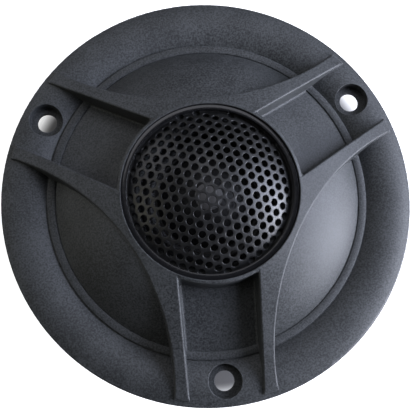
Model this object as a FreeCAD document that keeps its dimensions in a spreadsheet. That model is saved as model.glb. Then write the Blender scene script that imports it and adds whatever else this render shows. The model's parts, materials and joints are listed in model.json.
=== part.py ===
"""Car tweeter: a round flush-mount face plate with a domed steel grille and a 25 mm dome driver behind it.

Frame: millimetres, +Z out of the front of the speaker. The origin is the centre of the mounting plane,
which is the flat back of the flange. Screw holes stand at 30, 150 and 270 degrees about +Z.
"""
import FreeCAD, Part
import math
import os
import re
import Sketcher

doc = FreeCAD.newDocument("car_tweeter")
sheet = doc.addObject("Spreadsheet::Sheet", "sizes")

SIZES = {
    # face plate, flange and bead
    "rim_radius": 50,
    "rim_height": 3.5,
    "rim_rounding": 0.6,
    "flange_bulge_radius": 11.2,
    "valley_radius": 39.3,
    "valley_height": 2.3,
    "bead_outer_radius": 39,
    "bead_inner_radius": 37.2,
    "bead_edge_height": 2.8,
    "bead_bulge_radius": 3.2,
    "wall": 2,
    "overcut": 3,
    # collar that carries the grille
    "collar_height": 12.5,
    "collar_lip_radius": 21.2,
    "collar_outer_radius": 21.75,
    "collar_outer_height": 12.2,
    "collar_bore_radius": 21,
    "collar_land": 0.4,
    "ledge_height": 9.9,
    "ledge_inner_radius": 17.6,
    "throat_radius": 16.9,
    "throat_outer_radius": 20,
    "seat_height": -1.5,
    "collar_draft": 0.5,
    # floors between the ribs, lobes outside them
    "floor_outer_height": 2.5,
    "floor_inner_height": 6.5,
    "lobe_top_height": 11.85,
    "lobe_top_radius": 22.4,
    "lobe_bulge_radius": 42,
    "lobe_wall_across": 1.8,
    "lobe_wall_up": 1,
    "lobe_foot_height": 0.4,
    "lobe_collar_gap": 0.5,
    "lobe_roof_spare": 0.3,
    # star of ribs
    "pair_half_gap": 9,
    "rib_draft_angle": 4,
    "trough_half_depth": 15,
    "web_end_radius": 48.1,
    "web_end_height": 4.55,
    "web_tip_radius": 48.6,
    "web_nose_drop": 0.7,
    "web_nose_rounding": 0.6,
    "web_root_height": 1,
    "web_arc_radius": 61,
    "web_arc_depth": 20,
    "web_arc_top_gap": 0.4,
    "web_arc_bottom_gap": 1,
    "web_waist": 22.4,
    # mounting screws
    "screw_circle_radius": 44,
    "counterbore_radius": 4,
    "counterbore_floor": 1.3,
    "screw_hole_radius": 2.4,
    # back of the face plate
    "spigot_outer_radius": 38.4,
    "spigot_inner_radius": 36.9,
    "spigot_depth": 5,
    "gasket_inner_radius": 40.4,
    "gasket_outer_radius": 48.6,
    "gasket_thickness": 1,
    "gasket_hole_radius": 5.4,
    "fit_gap": 0.05,
    "web_edge_rounding": 0.35,
    "foot_rounding": 0.6,
    # grille
    "mesh_sphere_radius": 31,
    "mesh_apex": 17.3,
    "mesh_sheet": 0.6,
    "mesh_rim_radius": 20.85,
    "hole_radius": 0.87,
    "hole_pitch": 2.38,
    "hole_field_radius": 19.2,
    "pattern_bend_radius": 46,
    "hole_turn": -21,
    "hole_shift_across": -0.56,
    "hole_shift_up": -0.72,
    "ring_inner_radius": 19.65,
    "ring_inner_height": 12.05,
    "ring_outer_height": 12,
    "ring_bulge_radius": 3,
    # diaphragm and voice coil
    "dome_radius": 12.5,
    "dome_base": -1.5,
    "dome_apex": 4.5,
    "dome_film": 0.25,
    "dome_rim_radius": 13.2,
    "cap_radius": 3.4,
    "cap_thickness": 0.2,
    "former_inner_radius": 12.55,
    "former_outer_radius": 12.7,
    "former_bottom": -8.2,
    "winding_outer_radius": 13.05,
    "winding_bottom": -7.3,
    "winding_top": -3.7,
    "roll_inner_radius": 13.55,
    "roll_outer_radius": 15.95,
    "roll_bulge_radius": 1.6,
    "surround_lip_radius": 16.85,
    "carrier_inner_radius": 16,
    "carrier_outer_radius": 29.8,
    "carrier_top": -2,
    # magnet system
    "front_plate_radius": 36.5,
    "front_plate_top": -3.5,
    "front_plate_bottom": -7.5,
    "gap_outer_radius": 13.5,
    "magnet_radius": 30,
    "magnet_inner_radius": 16,
    "magnet_bottom": -17.5,
    "magnet_chamfer": 0.8,
    "yoke_radius": 29,
    "yoke_bottom": -21.5,
    "yoke_chamfer": 1,
    "pole_radius": 12.1,
    "pole_chamfer": 0.5,
    "vent_radius": 2.5,
    "felt_radius": 9,
    "felt_thickness": 2,
    # driver screws
    "driver_screw_circle": 33.3,
    "driver_screw_shank": 1.5,
    "driver_screw_tip": 2,
    "driver_screw_head": 2.5,
    "driver_screw_head_height": 1.8,
    "driver_screw_head_edge": 0.6,
    "driver_screw_crown_radius": 1.4,
    "driver_screw_crown_bulge": 1.8,
    "driver_screw_point_radius": 0.6,
    "driver_screw_point_length": 1,
    "pilot_spare": 0.5,
    "cross_slot_half_width": 0.35,
    "cross_slot_depth": 1,
    "cross_slot_reach": 1.4,
    "boss_radius": 3.2,
    "boss_top": 6,
    "boss_inset": 0.5,
    # terminals and leads
    "board_inner_radius": 31,
    "board_outer_radius": 37.8,
    "board_thickness": 1.6,
    "board_half_width": 13,
    "notch_inner_radius": 31.2,
    "notch_half_width": 9.5,
    "terminal_offset": 6,
    "terminal_sheet": 0.8,
    "terminal_bend": 0.4,
    "terminal_foot": 31.9,
    "terminal_blade": 35.4,
    "terminal_tip": -17.5,
    "dimple_radius": 0.9,
    "dimple_height": 2.4,
    "positive_half_width": 3.15,
    "negative_half_width": 2.4,
    "terminal_rivet_across": 33.4,
    "board_rivet_circle": 34.2,
    "board_rivet_angle": 18.5,
    "rivet_shank": 1,
    "rivet_head": 1.7,
    "rivet_crown_radius": 1.2,
    "rivet_head_height": 0.5,
    "tag_start": 20.6,
    "tag_end": 24,
    "tag_half_width": 1.5,
    "tag_sheet": 0.2,
    "lead_radius": 0.45,
}

for row, (alias, value) in enumerate(SIZES.items(), start=1):
    sheet.set("A%d" % row, str(value))
    sheet.setAlias("A%d" % row, alias)
doc.recompute()

PAIR_ANGLES = (30, 150, 270)
LOBE_ANGLES = (90, 210, 330)
TERMINAL_ANGLE = 0
CLOSE = 0.02
NEARLY_ALL = 0.8
LEAD_COURSE = (
    # distance in from the rivet, share of the sideways offset that is left, height
    ("0", 1, "front_plate_bottom + rivet_head_height + lead_radius / 4"),
    ("-lead_radius / 2", 1, "front_plate_top - lead_radius"),
    ("1.5", 0.95, "carrier_top + tag_sheet + lead_radius * 1.9"),
    ("5", 0.8, "carrier_top + tag_sheet + lead_radius * 2.1"),
    ("9", 0.52, "carrier_top + tag_sheet + lead_radius * 1.3"),
    ("11.7", 0.5, "carrier_top + tag_sheet + lead_radius * 1.2"),
)
subparts = []


def formula(text):
    """Spell out the sheet's name in front of every size named in a formula."""
    return re.sub(r"[a-z_]+", lambda word: ("sizes." if word[0] in SIZES else "") + word[0], text)


def value_of(text):
    """The number that a formula gives."""
    result = sheet.evalExpression(formula(text))
    return float(getattr(result, "Value", result))


def bind(thing, **properties):
    """Tie properties of an object to formulae; a double underscore stands for a dot."""
    for name, text in properties.items():
        thing.setExpression(name.replace("__", "."), formula(str(text)))
    return thing


def spun(thing, angle):
    """Turn an object about +Z through the origin."""
    thing.Placement = FreeCAD.Placement(FreeCAD.Vector(), FreeCAD.Rotation(FreeCAD.Vector(0, 0, 1), angle))
    return thing


def finished(thing, node):
    """Name an object as a sub-part of the tweeter."""
    thing.Label = node
    subparts.append(thing)
    return thing


def cylinder(name, radius, bottom, top, across="0", angle=0):
    """An upright cylinder whose axis stands at a radius and an angle from the origin."""
    solid = doc.addObject("Part::Cylinder", name)
    bind(solid, Radius=radius, Height="(%s) - (%s)" % (top, bottom))
    bind(solid, Placement__Base__z=bottom)
    bind(solid, Placement__Base__x="(%s) * cos(%g)" % (across, angle))
    bind(solid, Placement__Base__y="(%s) * sin(%g)" % (across, angle))
    return solid


def box(name, start, end, half_width, bottom, top, angle=0):
    """A block that runs outward from one radius to another, centred on a direction from the axis."""
    solid = doc.addObject("Part::Box", name)
    bind(solid, Length="(%s) - (%s)" % (end, start), Width="2 * (%s)" % half_width)
    bind(solid, Height="(%s) - (%s)" % (top, bottom))
    bind(solid, Placement__Base__x="(%s) * cos(%g) + (%s) * sin(%g)" % (start, angle, half_width, angle))
    bind(solid, Placement__Base__y="(%s) * sin(%g) - (%s) * cos(%g)" % (start, angle, half_width, angle))
    bind(solid, Placement__Base__z=bottom)
    bind(solid, Placement__Rotation__Angle="%g" % angle)
    return solid


def fuse(name, solids):
    union = doc.addObject("Part::MultiFuse", name)
    union.Shapes = solids
    return union


def cut(name, base, tools):
    """Take one or more tools away from a base."""
    difference = doc.addObject("Part::Cut", name)
    difference.Base = base
    difference.Tool = tools[0] if len(tools) == 1 else fuse(name + "_tools", tools)
    return difference


def common(name, first, second):
    overlap = doc.addObject("Part::Common", name)
    overlap.Base = first
    overlap.Tool = second
    return overlap


def outline_in(body, name, plane_role, outline):
    """A closed sketch on one of the body's planes, of corners (across, up) or (across, up, arc radius)."""
    sketch = body.newObject("Sketcher::SketchObject", name)
    plane = [feature for feature in body.Origin.OriginFeatures if feature.Role == plane_role][0]
    sketch.AttachmentSupport = (plane, [""])
    sketch.MapMode = "FlatFace"
    return drawn(sketch, outline)


def drawn(sketch, outline):
    """Draw the closed outline in a sketch and tie each corner and each arc to its formula."""
    corners = [FreeCAD.Vector(value_of(corner[0]), value_of(corner[1]), 0) for corner in outline]
    ends = []
    for index, corner in enumerate(outline):
        start = corners[index]
        end = corners[(index + 1) % len(corners)]
        if len(corner) == 3:
            ends.append(add_arc(sketch, start, end, corner[2]))
        else:
            sketch.addGeometry(Part.LineSegment(start, end), False)
            ends.append((1, 2))
    for index, corner in enumerate(outline):
        following = (index + 1) % len(outline)
        joined = Sketcher.Constraint("Coincident", index, ends[index][1], following, ends[following][0])
        sketch.addConstraint(joined)
        hold(sketch, "DistanceX", index, ends[index][0], corner[0])
        hold(sketch, "DistanceY", index, ends[index][0], corner[1])
        if len(corner) == 3:
            radius = abs(value_of(corner[2]))
            number = sketch.addConstraint(Sketcher.Constraint("Radius", index, radius))
            sketch.setExpression("Constraints[%d]" % number, formula("abs(%s)" % corner[2]))
    return sketch


def add_arc(sketch, start, end, radius_text):
    """Add an anticlockwise arc and tell which of its ends is the start of the outline's run."""
    radius = value_of(radius_text)
    chord = end - start
    side = FreeCAD.Vector(chord.y, -chord.x, 0).normalize()
    depth = abs(radius) - math.sqrt(radius * radius - (chord.Length / 2) ** 2)
    middle = start + chord * 0.5 + side * math.copysign(depth, radius)
    if radius > 0:
        sketch.addGeometry(Part.Arc(start, middle, end), False)
        return (1, 2)
    sketch.addGeometry(Part.Arc(end, middle, start), False)
    return (2, 1)


def hold(sketch, kind, index, end, text):
    """Fix one coordinate of a corner from the sketch's origin, tied to a formula."""
    number = sketch.addConstraint(Sketcher.Constraint(kind, -1, 1, index, end, value_of(text)))
    sketch.setExpression("Constraints[%d]" % number, formula(text))


def rounded(name, base, radius, chosen):
    """Round the edges of a solid whose every sampled (radius, height) passes a test."""
    doc.recompute()
    size = value_of(radius)
    edges = []
    for number, edge in enumerate(base.Shape.Edges, start=1):
        span = edge.LastParameter - edge.FirstParameter
        points = [edge.valueAt(edge.FirstParameter + span * share) for share in (0, 0.25, 0.5, 0.75, 1)]
        if chosen(edge, [(math.hypot(point.x, point.y), point.z) for point in points]):
            edges.append((number, size, size))
    fillet = doc.addObject("Part::Fillet", name)
    fillet.Base = base
    fillet.Edges = edges
    return fillet


def turned(name, outline):
    """A body turned about +Z from an outline of (radius, height) corners, listed anticlockwise.

    A third value is the radius of the arc to the next corner; positive bulges outward, negative inward.
    """
    body = doc.addObject("PartDesign::Body", name)
    sketch = outline_in(body, name + "_outline", "XZ_Plane", outline)
    doc.recompute()
    turn = body.newObject("PartDesign::Revolution", name + "_turn")
    turn.Profile = sketch
    turn.ReferenceAxis = (sketch, ["V_Axis"])
    turn.Angle = 360
    body.Tip = turn
    return spun(body, PAIR_ANGLES[0])


def turned_solid(name, outline):
    """A solid turned about +Z from an outline that touches the axis, listed in the same way."""
    sketch = doc.addObject("Sketcher::SketchObject", name + "_outline")
    sketch.Placement.Rotation = FreeCAD.Rotation(FreeCAD.Vector(1, 0, 0), 90)
    drawn(sketch, outline)
    turn = doc.addObject("Part::Revolution", name)
    turn.Source = sketch
    turn.Axis = (0, 0, 1)
    turn.Angle = 360
    turn.Solid = True
    return turn


def bowl(name, outer_radius, thickness, apex, reach, low):
    """A thin dome: a spherical skin under an apex, kept inside a radius and above a height."""
    skins = []
    for skin, radius in (("outside", outer_radius), ("inside", "%s - %s" % (outer_radius, thickness))):
        sphere = doc.addObject("Part::Sphere", "%s_%s" % (name, skin))
        bind(sphere, Radius=radius, Placement__Base__z="%s - %s" % (apex, outer_radius))
        skins.append(sphere)
    window = cylinder(name + "_window", reach, low, "%s + overcut" % apex)
    return common(name, cut(name + "_skin", skins[0], skins[1:]), window)


def ring(name, inner, outer, bottom, top):
    """A flat ring."""
    return turned(name, [(inner, bottom), (outer, bottom), (outer, top), (inner, top)])


def face_plate():
    """The moulded plate: flange, bead, star of ribs, lobes, collar, spigot and bosses."""
    shell = plate_shell()
    raised = cut("raised_work", fuse("lobes_and_web", [lobe_mass(), rib_star()]), pair_slots())
    raised = rounded("raised_rounded", raised, "web_edge_rounding", is_web_edge)
    solid = fuse("plate_solid", [shell, raised])
    solid = rounded("plate_rounded", solid, "foot_rounding", is_foot_edge)
    hollow = cut("plate_hollowed", solid, [lobe_hollow(), gasket_recess()])
    bossed = fuse("plate_bossed", [hollow, driver_bosses()])
    holes = []
    for angle in PAIR_ANGLES:
        place = {"across": "screw_circle_radius", "angle": angle}
        top = "rim_height + overcut"
        bottom = "counterbore_floor"
        holes.append(cylinder("screw_hole_%d" % angle, "screw_hole_radius", "-overcut", top, **place))
        holes.append(cylinder("counterbore_%d" % angle, "counterbore_radius", bottom, top, **place))
    for angle in LOBE_ANGLES:
        place = {"across": "driver_screw_circle", "angle": angle}
        pilot = "driver_screw_shank + fit_gap / 2"
        bottom = "front_plate_top - overcut"
        top = "driver_screw_tip + pilot_spare"
        holes.append(cylinder("pilot_hole_%d" % angle, pilot, bottom, top, **place))
    return finished(cut("plate", bossed, holes), "faceplate")


def height_between(radius, inner, outer):
    """Height of a cone through two named rings at a given radius."""
    (first_radius, first_height), (last_radius, last_height) = [
        (value_of(ring_radius), value_of(ring_height)) for ring_radius, ring_height in (inner, outer)
    ]
    share = (radius - first_radius) / (last_radius - first_radius)
    return first_height + share * (last_height - first_height)


def is_web_edge(edge, points):
    """Edges that border the top of the star of ribs."""
    inner = ("collar_lip_radius", "collar_height")
    outer = ("web_end_radius", "web_end_height")
    on_top = all(abs(height - height_between(radius, inner, outer)) < CLOSE for radius, height in points)
    return on_top and edge.Length > value_of("pair_half_gap") and not is_circle(edge)


def is_foot_edge(edge, points):
    """Edges round the foot of the walls that stand on the floors between ribs."""
    inner = ("collar_outer_radius + collar_draft", "floor_inner_height")
    outer = ("bead_inner_radius", "floor_outer_height")
    on_floor = all(abs(height - height_between(radius, inner, outer)) < CLOSE for radius, height in points)
    at_collar = abs(points[2][0] - value_of(inner[0])) < CLOSE
    if on_floor and (at_collar or not is_circle(edge)):
        return edge.Length > value_of("pair_half_gap")
    low, high = value_of("collar_outer_radius - fit_gap * 2"), value_of(inner[0] + " + fit_gap * 2")
    rise = abs(points[0][1] - points[-1][1])
    up_the_collar = rise > NEARLY_ALL * value_of("collar_height - floor_inner_height")
    return low < points[2][0] < high and up_the_collar and not is_circle(edge)


def is_circle(edge):
    return isinstance(edge.Curve, Part.Circle)


def plate_shell():
    """Everything on the plate that is round: its section, turned."""
    return turned(
        "plate_shell",
        [
            ("throat_radius", "seat_height"),
            ("throat_outer_radius", "seat_height"),
            ("throat_outer_radius", "floor_inner_height - wall"),
            ("lobe_top_radius", "floor_inner_height - wall"),
            ("spigot_inner_radius", "floor_outer_height - wall"),
            ("spigot_inner_radius", "-spigot_depth"),
            ("spigot_outer_radius", "-spigot_depth"),
            ("spigot_outer_radius", "0"),
            ("rim_radius", "0"),
            ("rim_radius", "rim_height - rim_rounding", "rim_rounding"),
            ("rim_radius - rim_rounding", "rim_height", "flange_bulge_radius"),
            ("valley_radius", "valley_height"),
            ("bead_outer_radius", "valley_height"),
            ("bead_outer_radius", "bead_edge_height", "bead_bulge_radius"),
            ("bead_inner_radius", "bead_edge_height"),
            ("bead_inner_radius", "floor_outer_height"),
            ("collar_outer_radius + collar_draft", "floor_inner_height"),
            ("collar_outer_radius", "collar_outer_height"),
            ("collar_lip_radius", "collar_height"),
            ("collar_bore_radius", "collar_height"),
            ("collar_bore_radius", "ledge_height"),
            ("ledge_inner_radius", "ledge_height"),
        ],
    )


def lobe_mass():
    """The domed surface of the three lobes, solid underneath and all the way round."""
    return turned(
        "lobe_mass",
        [
            ("throat_outer_radius", "0"),
            ("bead_inner_radius", "0"),
            ("bead_inner_radius", "floor_outer_height", "lobe_bulge_radius"),
            ("lobe_top_radius", "lobe_top_height"),
            ("collar_bore_radius + collar_land", "lobe_top_height"),
            ("collar_bore_radius + collar_land", "floor_inner_height"),
            ("throat_outer_radius", "floor_inner_height"),
        ],
    )


def rib_star():
    """The star of ribs: a shallow cone with three great arcs taken out of it."""
    cone = turned(
        "web_cone",
        [
            ("collar_bore_radius", "floor_outer_height"),
            ("bead_inner_radius", "web_root_height"),
            ("web_tip_radius", "web_root_height"),
            ("web_tip_radius", "web_end_height - web_nose_drop", "web_nose_rounding"),
            ("web_end_radius", "web_end_height"),
            ("collar_lip_radius", "collar_height"),
            ("collar_bore_radius", "collar_height"),
        ],
    )
    arcs = []
    for angle in LOBE_ANGLES:
        arc = doc.addObject("Part::Cone", "web_arc_%d" % angle)
        reach = "web_arc_radius + web_waist"
        bind(arc, Radius1="web_arc_radius - web_arc_bottom_gap", Radius2="web_arc_radius + web_arc_top_gap")
        bind(arc, Height="web_arc_depth")
        bind(arc, Placement__Base__x="(%s) * cos(%d)" % (reach, angle))
        bind(arc, Placement__Base__y="(%s) * sin(%d)" % (reach, angle))
        bind(arc, Placement__Rotation__Angle=angle)
        arcs.append(arc)
    return cut("rib_star", cone, arcs)


def pair_slots():
    """Three drafted troughs between the ribs of each pair."""
    troughs = []
    for angle in PAIR_ANGLES:
        body = doc.addObject("PartDesign::Body", "pair_trough_%d" % angle)
        spread = "trough_half_depth * tan(rib_draft_angle)"
        low = "(collar_height + floor_outer_height) / 2 - trough_half_depth"
        high = "(collar_height + floor_outer_height) / 2 + trough_half_depth"
        section = [
            ("-pair_half_gap + %s" % spread, low),
            ("pair_half_gap - %s" % spread, low),
            ("pair_half_gap + %s" % spread, high),
            ("-pair_half_gap - %s" % spread, high),
        ]
        sketch = outline_in(body, "pair_section_%d" % angle, "YZ_Plane", section)
        doc.recompute()
        run = body.newObject("PartDesign::Pad", "pair_run_%d" % angle)
        run.Profile = sketch
        bind(run, Length="rim_radius + overcut")
        body.Tip = run
        troughs.append(spun(body, angle))
    return troughs


def lobe_hollow():
    """The room under the three lobes that keeps their wall even."""
    room = turned(
        "lobe_room",
        [
            ("throat_outer_radius", "-overcut"),
            ("spigot_inner_radius", "-overcut"),
            ("spigot_inner_radius", "lobe_foot_height"),
            (
                "bead_inner_radius - lobe_wall_across",
                "floor_outer_height - lobe_wall_up",
                "lobe_bulge_radius - wall",
            ),
            ("lobe_top_radius + lobe_collar_gap", "lobe_top_height - wall - lobe_roof_spare"),
            ("lobe_top_radius + lobe_collar_gap", "floor_inner_height - wall"),
            ("throat_outer_radius", "floor_inner_height - wall"),
        ],
    )
    walls = []
    low, high = "-2 * overcut", "collar_height + overcut"
    for angle in PAIR_ANGLES:
        walls.append(box("pair_wall_%d" % angle, "0", "rim_radius", "pair_half_gap + wall", low, high, angle))
    return cut("lobe_hollow", room, walls)


def gasket_recess():
    """The channel in the back of the flange that takes the mounting gasket, left solid round the screws."""
    edges = ("gasket_inner_radius", "gasket_outer_radius")
    channel = ring("gasket_channel", *edges, "-overcut", "gasket_thickness")
    pads = []
    for angle in PAIR_ANGLES:
        pad = "gasket_hole_radius - fit_gap * 2"
        place = {"across": "screw_circle_radius", "angle": angle}
        pads.append(cylinder("screw_pad_%d" % angle, pad, "-2 * overcut", "overcut", **place))
    return cut("gasket_recess", channel, pads)


def driver_bosses():
    """Three bosses under the lobes, where the driver's screws bite."""
    posts = []
    for angle in LOBE_ANGLES:
        place = {"across": "driver_screw_circle", "angle": angle}
        posts.append(cylinder("boss_%d" % angle, "boss_radius", "front_plate_top", "boss_top", **place))
    envelope = turned(
        "boss_envelope",
        [
            ("throat_outer_radius", "front_plate_top"),
            ("spigot_inner_radius + boss_inset", "front_plate_top"),
            ("spigot_inner_radius + boss_inset", "floor_outer_height - boss_inset", "lobe_bulge_radius"),
            ("lobe_top_radius - boss_inset", "lobe_top_height - boss_inset"),
            ("throat_outer_radius", "floor_inner_height"),
        ],
    )
    return common("driver_bosses", fuse("boss_posts", posts), envelope)


def grille_ring():
    """The glossy trim ring that clamps the grille into the collar, its crest slightly arched."""
    outer = "collar_bore_radius - fit_gap"
    body = turned(
        "grille_ring",
        [
            ("ring_inner_radius", "ledge_height + mesh_sheet"),
            (outer, "ledge_height + mesh_sheet"),
            (outer, "ring_outer_height", "ring_bulge_radius"),
            ("ring_inner_radius", "ring_inner_height"),
        ],
    )
    return finished(body, "grille_ring")


def grille_mesh():
    """The domed steel grille: a pressed cap with a flat rim, perforated on a hexagonal pattern."""
    inside = "(mesh_sphere_radius - mesh_sheet)"
    fold = "sqrt(%s ^ 2 - (ledge_height - mesh_apex + mesh_sphere_radius) ^ 2)" % inside
    cap = bowl("mesh_cap", "mesh_sphere_radius", "mesh_sheet", "mesh_apex", "mesh_rim_radius", "ledge_height")
    rim = ring("mesh_rim", fold, "mesh_rim_radius", "ledge_height", "ledge_height + mesh_sheet")
    blank = fuse("mesh_blank", [cap, rim])
    doc.recompute()
    grille = doc.addObject("Part::Feature", "perforated_grille")
    grille.Shape = blank.Shape.cut(Part.makeCompound(list(grille_holes())))
    return finished(grille, "grille_mesh")


def grille_holes():
    """One cylinder for each hole, square to the dome where it goes through.

    The pattern is punched in the flat sheet and closes up a little towards the rim when the dome is pressed.
    """
    pitch = value_of("hole_pitch")
    bend = value_of("pattern_bend_radius")
    reach = value_of("hole_field_radius")
    sphere = value_of("mesh_sphere_radius")
    centre = FreeCAD.Vector(0, 0, value_of("mesh_apex") - sphere)
    shift = FreeCAD.Vector(value_of("hole_shift_across"), value_of("hole_shift_up"), 0)
    turn = FreeCAD.Rotation(FreeCAD.Vector(0, 0, 1), value_of("hole_turn"))
    depth = value_of("overcut")
    rows = int(2 * reach / pitch)
    for row in range(-rows, rows + 1):
        for column in range(-rows, rows + 1):
            step = FreeCAD.Vector(pitch * (column + row / 2), pitch * row * math.sqrt(3) / 2, 0)
            spot = turn.multVec(step) + shift
            if spot.Length > 0:
                spot *= math.sin(spot.Length / bend) * bend / spot.Length
            if spot.Length > reach:
                continue
            spot.z = math.sqrt(sphere ** 2 - spot.x ** 2 - spot.y ** 2) + centre.z
            outward = (spot - centre).normalize()
            yield Part.makeCylinder(value_of("hole_radius"), depth * 2, spot - outward * depth, outward)


DOME_SPHERE = "((dome_radius ^ 2 + (dome_apex - dome_base) ^ 2) / (2 * (dome_apex - dome_base)))"


def dome():
    """The soft dome, with a narrow flat rim that the voice coil hangs from."""
    bottom = "(dome_base - dome_film)"
    inside = "(%s - dome_film)" % DOME_SPHERE
    edge = "sqrt(%s ^ 2 - (%s - dome_apex + %s) ^ 2)" % (inside, bottom, DOME_SPHERE)
    cap = bowl("dome_skin", DOME_SPHERE, "dome_film", "dome_apex", "dome_rim_radius", bottom)
    rim = ring("dome_rim", edge, "dome_rim_radius", bottom, "dome_base")
    finished(fuse("dome", [cap, rim]), "dome_diaphragm")


def dome_cap():
    """The small pale disc bonded to the middle of the dome."""
    outside = "(%s + cap_thickness)" % DOME_SPHERE
    cap = bowl("cap", outside, "cap_thickness", "(dome_apex + cap_thickness)", "cap_radius", "0")
    finished(cap, "dome_centre_cap")


def surround():
    """The half-roll that lets the dome move, from the dome's rim to the carrier ring."""
    under = "dome_base - dome_film"
    lip_gap = "dome_rim_radius + fit_gap"
    body = turned(
        "surround",
        [
            (lip_gap, under),
            ("roll_inner_radius + dome_film / 2", under, "-(roll_bulge_radius - dome_film)"),
            ("roll_outer_radius - dome_film / 2", "carrier_top"),
            ("surround_lip_radius", "carrier_top"),
            ("surround_lip_radius", "carrier_top + dome_film"),
            ("roll_outer_radius + dome_film / 2", "carrier_top + dome_film", "roll_bulge_radius"),
            ("roll_inner_radius - dome_film / 2", "dome_base"),
            (lip_gap, "dome_base"),
        ],
    )
    return finished(body, "surround")


def voice_coil():
    """The former that hangs from the dome and the winding round it."""
    top = "dome_base - dome_film"
    former = ring("coil_former", "former_inner_radius", "former_outer_radius", "former_bottom", top)
    winding = ring(
        "coil_winding", "former_outer_radius", "winding_outer_radius", "winding_bottom", "winding_top"
    )
    finished(former, "voice_coil_former")
    finished(winding, "voice_coil_winding")


def carrier_and_gaskets():
    """The ring that carries the surround, its gasket, and the gasket behind the flange."""
    edges = ("carrier_inner_radius", "carrier_outer_radius")
    carrier = ring("carrier", *edges, "front_plate_top", "carrier_top")
    finished(carrier, "diaphragm_ring")
    seal = ring("seal", "throat_radius", "throat_outer_radius", "carrier_top", "seat_height")
    finished(seal, "driver_gasket")
    foam = ring(
        "foam",
        "gasket_inner_radius + fit_gap * 2",
        "gasket_outer_radius - fit_gap * 2",
        "0",
        "gasket_thickness - fit_gap",
    )
    holes = []
    for angle in PAIR_ANGLES:
        place = {"across": "screw_circle_radius", "angle": angle}
        holes.append(cylinder("gasket_hole_%d" % angle, "gasket_hole_radius", "-overcut", "overcut", **place))
    finished(cut("foam_gasket", foam, holes), "mounting_gasket")


def magnet_system():
    """Front plate, ferrite ring, yoke with its pole, and the felt pad on the pole."""
    edges = ("gap_outer_radius", "front_plate_radius")
    plate = ring("plate_blank", *edges, "front_plate_bottom", "front_plate_top")
    low, high = "front_plate_bottom - overcut", "front_plate_top + overcut"
    holes = [
        box(
            "terminal_notch",
            "notch_inner_radius",
            "front_plate_radius + overcut",
            "notch_half_width",
            low,
            high,
            TERMINAL_ANGLE,
        )
    ]
    for angle in LOBE_ANGLES:
        place = {"across": "driver_screw_circle", "angle": angle}
        clearance = "driver_screw_shank + fit_gap * 2"
        holes.append(cylinder("plate_hole_%d" % angle, clearance, low, high, **place))
    for side in (-1, 1):
        place = {"across": "board_rivet_circle", "angle": side * value_of("board_rivet_angle")}
        clearance = "rivet_shank + fit_gap"
        holes.append(cylinder("rivet_hole_%d" % (side + 1), clearance, low, high, **place))
    finished(cut("front_plate", plate, holes), "front_plate")
    edge = "magnet_chamfer"
    magnet = turned(
        "magnet",
        [
            ("magnet_inner_radius", "magnet_bottom"),
            ("magnet_radius - %s" % edge, "magnet_bottom"),
            ("magnet_radius", "magnet_bottom + %s" % edge),
            ("magnet_radius", "front_plate_bottom - %s" % edge),
            ("magnet_radius - %s" % edge, "front_plate_bottom"),
            ("magnet_inner_radius", "front_plate_bottom"),
        ],
    )
    finished(magnet, "magnet")
    yoke = turned(
        "yoke",
        [
            ("vent_radius", "yoke_bottom"),
            ("yoke_radius - yoke_chamfer", "yoke_bottom"),
            ("yoke_radius", "yoke_bottom + yoke_chamfer"),
            ("yoke_radius", "magnet_bottom"),
            ("pole_radius", "magnet_bottom"),
            ("pole_radius", "front_plate_top - pole_chamfer"),
            ("pole_radius - pole_chamfer", "front_plate_top"),
            ("vent_radius", "front_plate_top"),
        ],
    )
    finished(yoke, "yoke")
    felt = ring("felt", "vent_radius", "felt_radius", "front_plate_top", "front_plate_top + felt_thickness")
    finished(felt, "pole_felt_pad")


def driver_screws():
    """Three cross-head screws that hold the driver to the bosses of the face plate."""
    screws = []
    underside = "front_plate_bottom"
    crown = "(front_plate_bottom - driver_screw_head_height)"
    for angle in LOBE_ANGLES:
        blank = turned_solid(
            "screw_blank_%d" % angle,
            [
                ("0", crown),
                ("driver_screw_crown_radius", crown, "driver_screw_crown_bulge"),
                ("driver_screw_head", "%s - driver_screw_head_edge" % underside),
                ("driver_screw_head", underside),
                ("driver_screw_shank", underside),
                ("driver_screw_shank", "driver_screw_tip - driver_screw_point_length"),
                ("driver_screw_point_radius", "driver_screw_tip"),
                ("0", "driver_screw_tip"),
            ],
        )
        slots = []
        for turn in (0, 90):
            slots.append(
                box(
                    "cross_slot_%d_%d" % (angle, turn),
                    "-cross_slot_reach",
                    "cross_slot_reach",
                    "cross_slot_half_width",
                    "%s - overcut" % crown,
                    "%s + cross_slot_depth" % crown,
                    turn,
                )
            )
        screw = cut("driver_screw_%d" % angle, blank, slots)
        screws.append(moved(screw, "driver_screw_circle", angle))
    finished(group("driver_screw_set", screws), "driver_screws")


def moved(thing, across, angle):
    """Stand an object at a radius and an angle from the axis."""
    bind(thing, Placement__Base__x="%s * cos(%g)" % (across, angle))
    bind(thing, Placement__Base__y="%s * sin(%g)" % (across, angle))
    return thing


def group(name, members):
    """Several separate solids that share one node."""
    compound = doc.addObject("Part::Compound", name)
    compound.Links = members
    return compound


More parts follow.
